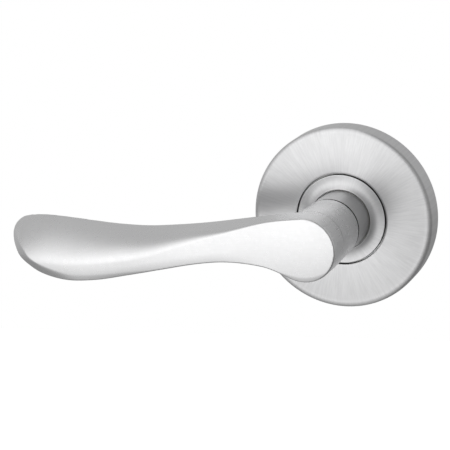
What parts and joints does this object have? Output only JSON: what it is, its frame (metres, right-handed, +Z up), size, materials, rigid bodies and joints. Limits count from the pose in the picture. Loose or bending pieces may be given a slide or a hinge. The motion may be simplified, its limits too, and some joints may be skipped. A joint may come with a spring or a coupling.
{
  "type": "lever handle lockset",
  "caption": "Satin metal lever handle on a plain round rose, with its square spindle, return spring cassette, mounting plate and through-door screws.",
  "frame": {"origin": "on the spindle axis, in the plane of the door face that the rose sits on", "axes": "+X right along the door (the handle points to -X), +Y into the door along the spindle, +Z up"},
  "size_m": [0.143, 0.105, 0.065],
  "materials": {
    "satin_metal": "satin brushed",
    "zinc_plated_steel": "bright zinc plate",
    "hardened_steel": "black oxide",
    "spring_steel": "drawn and oiled",
    "cast_zinc": "as cast",
    "nylon": "moulded"
  },
  "bodies": {
    "rose": {"rose_cover": "satin_metal", "collar_ring": "satin_metal", "bearing_bush": "nylon", "mounting_plate": "cast_zinc", "cassette_housing": "zinc_plated_steel", "return_spring": "spring_steel", "stop_pin_rest": "hardened_steel", "stop_pin_limit": "hardened_steel", "cassette_screw_1": "zinc_plated_steel", "cassette_screw_2": "zinc_plated_steel", "cassette_screw_3": "zinc_plated_steel", "cassette_screw_4": "zinc_plated_steel", "fixing_screw_left": "zinc_plated_steel", "fixing_screw_right": "zinc_plated_steel", "rose_clip_1": "spring_steel", "rose_clip_2": "spring_steel", "rose_clip_3": "spring_steel"},
    "lever": {"lever_handle": "satin_metal", "neck_sleeve": "satin_metal", "spindle": "zinc_plated_steel", "grub_screw": "hardened_steel", "drive_hub": "cast_zinc", "circlip": "spring_steel", "thrust_washer": "spring_steel"}
  },
  "joints": [
    {"name": "lever_turn", "type": "hinge", "parent": "rose", "child": "lever", "pos_m": [0, 0, 0], "axis": [0, -1, 0], "range_deg": [0, 50], "stiffness_Nm_per_rad": 0.5, "springref_deg": -40.11, "deforming": ["return_spring"]}
  ]
}
